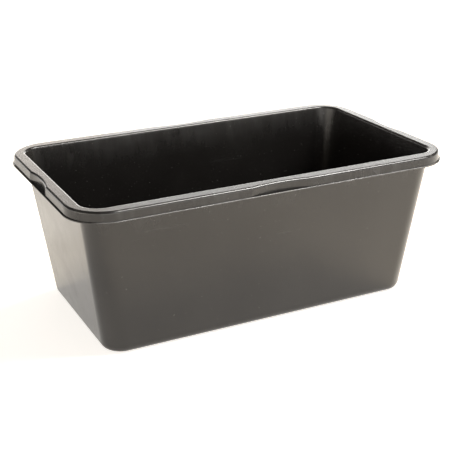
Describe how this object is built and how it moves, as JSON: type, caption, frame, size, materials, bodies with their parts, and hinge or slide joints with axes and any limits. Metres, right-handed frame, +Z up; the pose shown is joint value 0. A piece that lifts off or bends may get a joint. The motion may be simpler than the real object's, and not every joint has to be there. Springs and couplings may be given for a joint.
{
  "type": "mortar mixing tub",
  "caption": "Rectangular black plastic mixing tub with tapered walls, rounded corners and a turned-down rim with hand grips.",
  "frame": {"origin": "middle of the flat base, on the surface that the tub stands on", "axes": "+Z up through the open mouth, +X along the tub's length to the right end, -Y towards the front long side"},
  "size_m": [0.75, 0.443, 0.29],
  "materials": {
    "tub_plastic": "black recycled polyethylene, semi-matt and slightly waxy, with fine scuffs"
  },
  "bodies": {
    "root": {"floor": "tub_plastic", "bottom_edge": "tub_plastic", "front_wall": "tub_plastic", "back_wall": "tub_plastic", "left_wall": "tub_plastic", "right_wall": "tub_plastic", "front_left_corner": "tub_plastic", "front_right_corner": "tub_plastic", "back_left_corner": "tub_plastic", "back_right_corner": "tub_plastic", "rim_flange": "tub_plastic", "front_grip": "tub_plastic", "back_grip": "tub_plastic", "left_grip": "tub_plastic", "right_grip": "tub_plastic", "front_left_skirt": "tub_plastic", "front_right_skirt": "tub_plastic", "back_left_skirt": "tub_plastic", "back_right_skirt": "tub_plastic", "rim_lip": "tub_plastic"}
  },
  "joints": []
}
